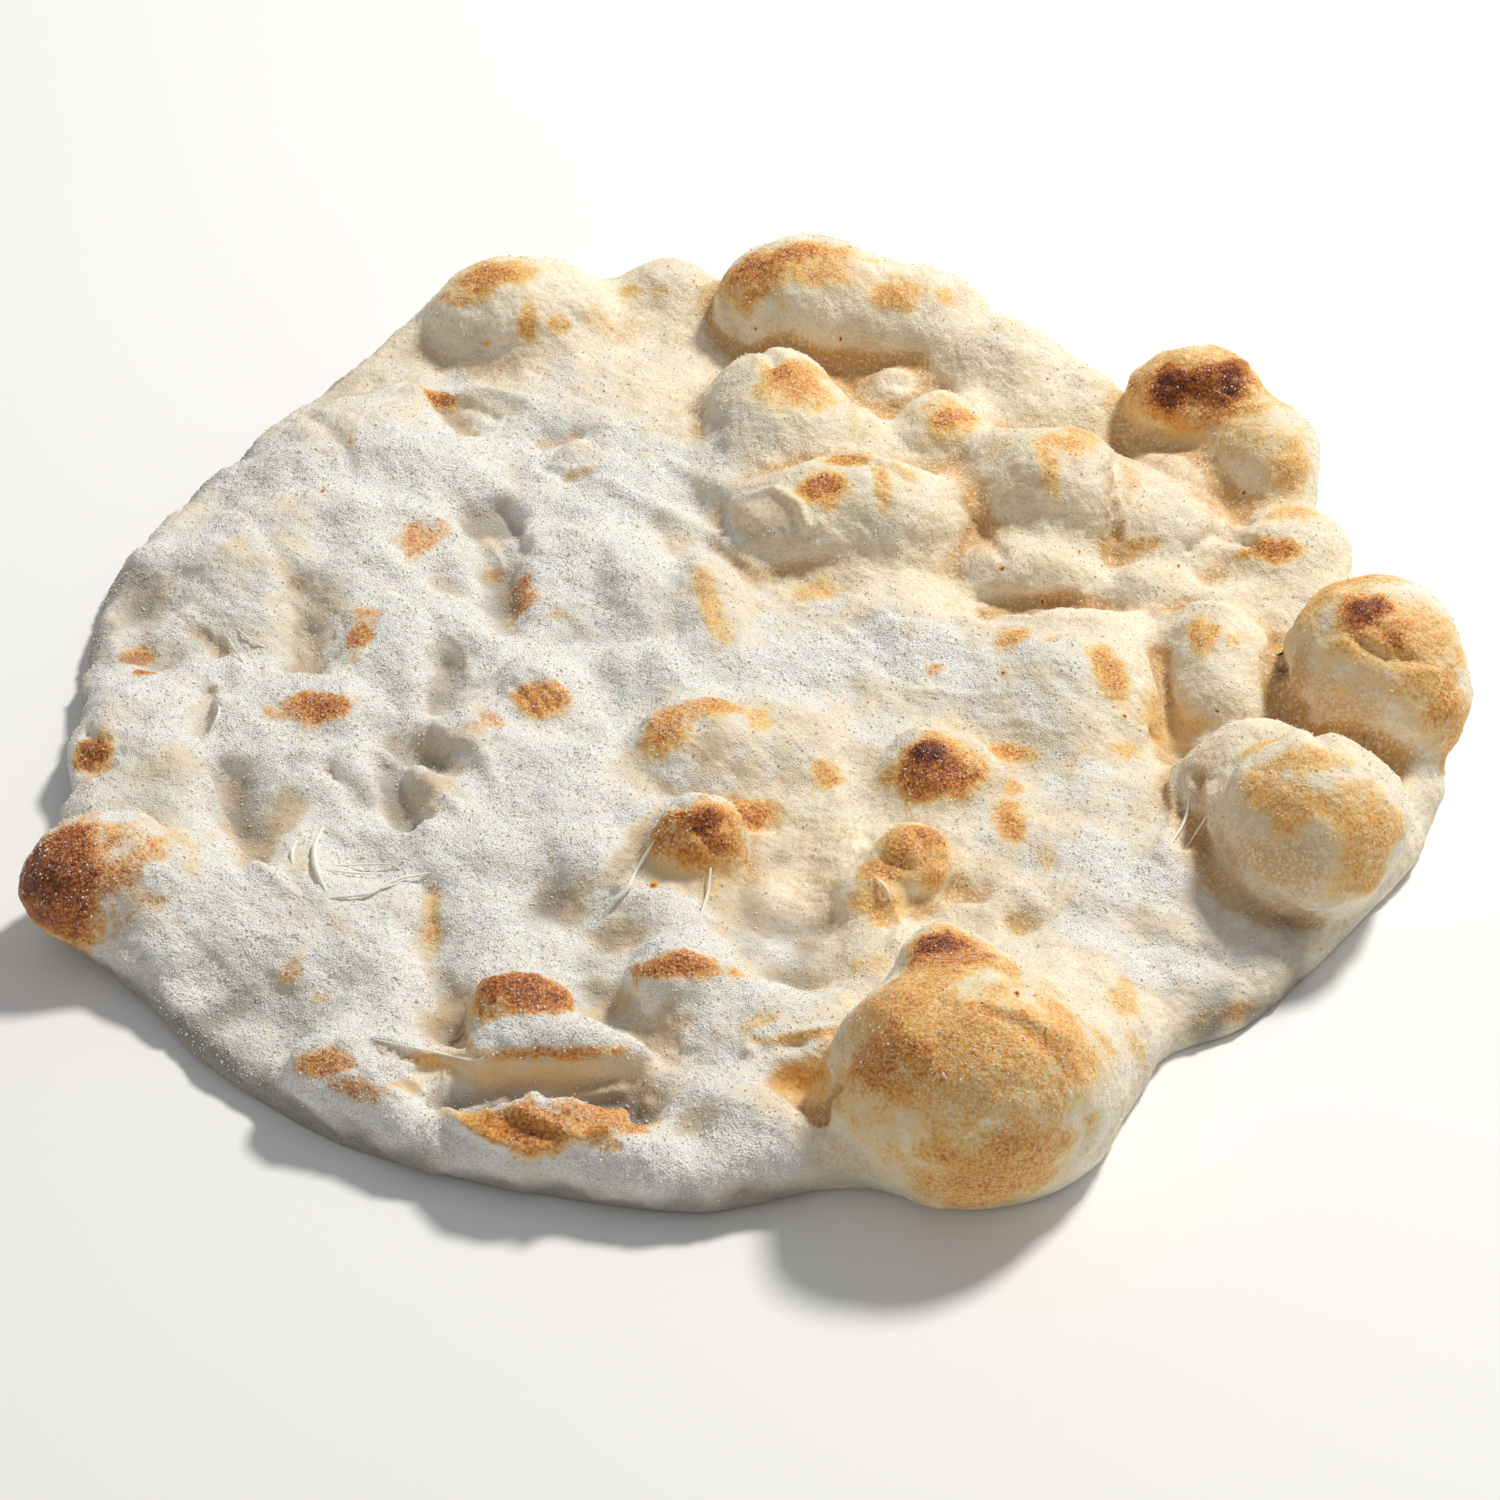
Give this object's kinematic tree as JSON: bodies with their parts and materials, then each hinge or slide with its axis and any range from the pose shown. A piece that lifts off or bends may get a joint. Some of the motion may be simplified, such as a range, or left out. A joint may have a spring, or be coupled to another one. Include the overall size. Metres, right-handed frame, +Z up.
{
  "type": "pizza base",
  "caption": "Plain baked pizza base: a hand-stretched round of blistered, floured dough with an uneven puffed rim and toasted bubbles, and no topping.",
  "frame": {"origin": "on the floor plane, under the middle of the base's bounding box", "axes": "+Z up through the base, out of the baked and blistered side; +X to the right and +Y away, as the base is seen in its picture"},
  "size_m": [0.3076, 0.3088, 0.0439],
  "materials": {
    "baked_dough": "matt baked wheat dough, cream coloured, dusted with white flour and semolina, with toasted orange-brown and near-black scorched bubble tops"
  },
  "bodies": {
    "root": {"crust": "baked_dough"}
  },
  "joints": []
}
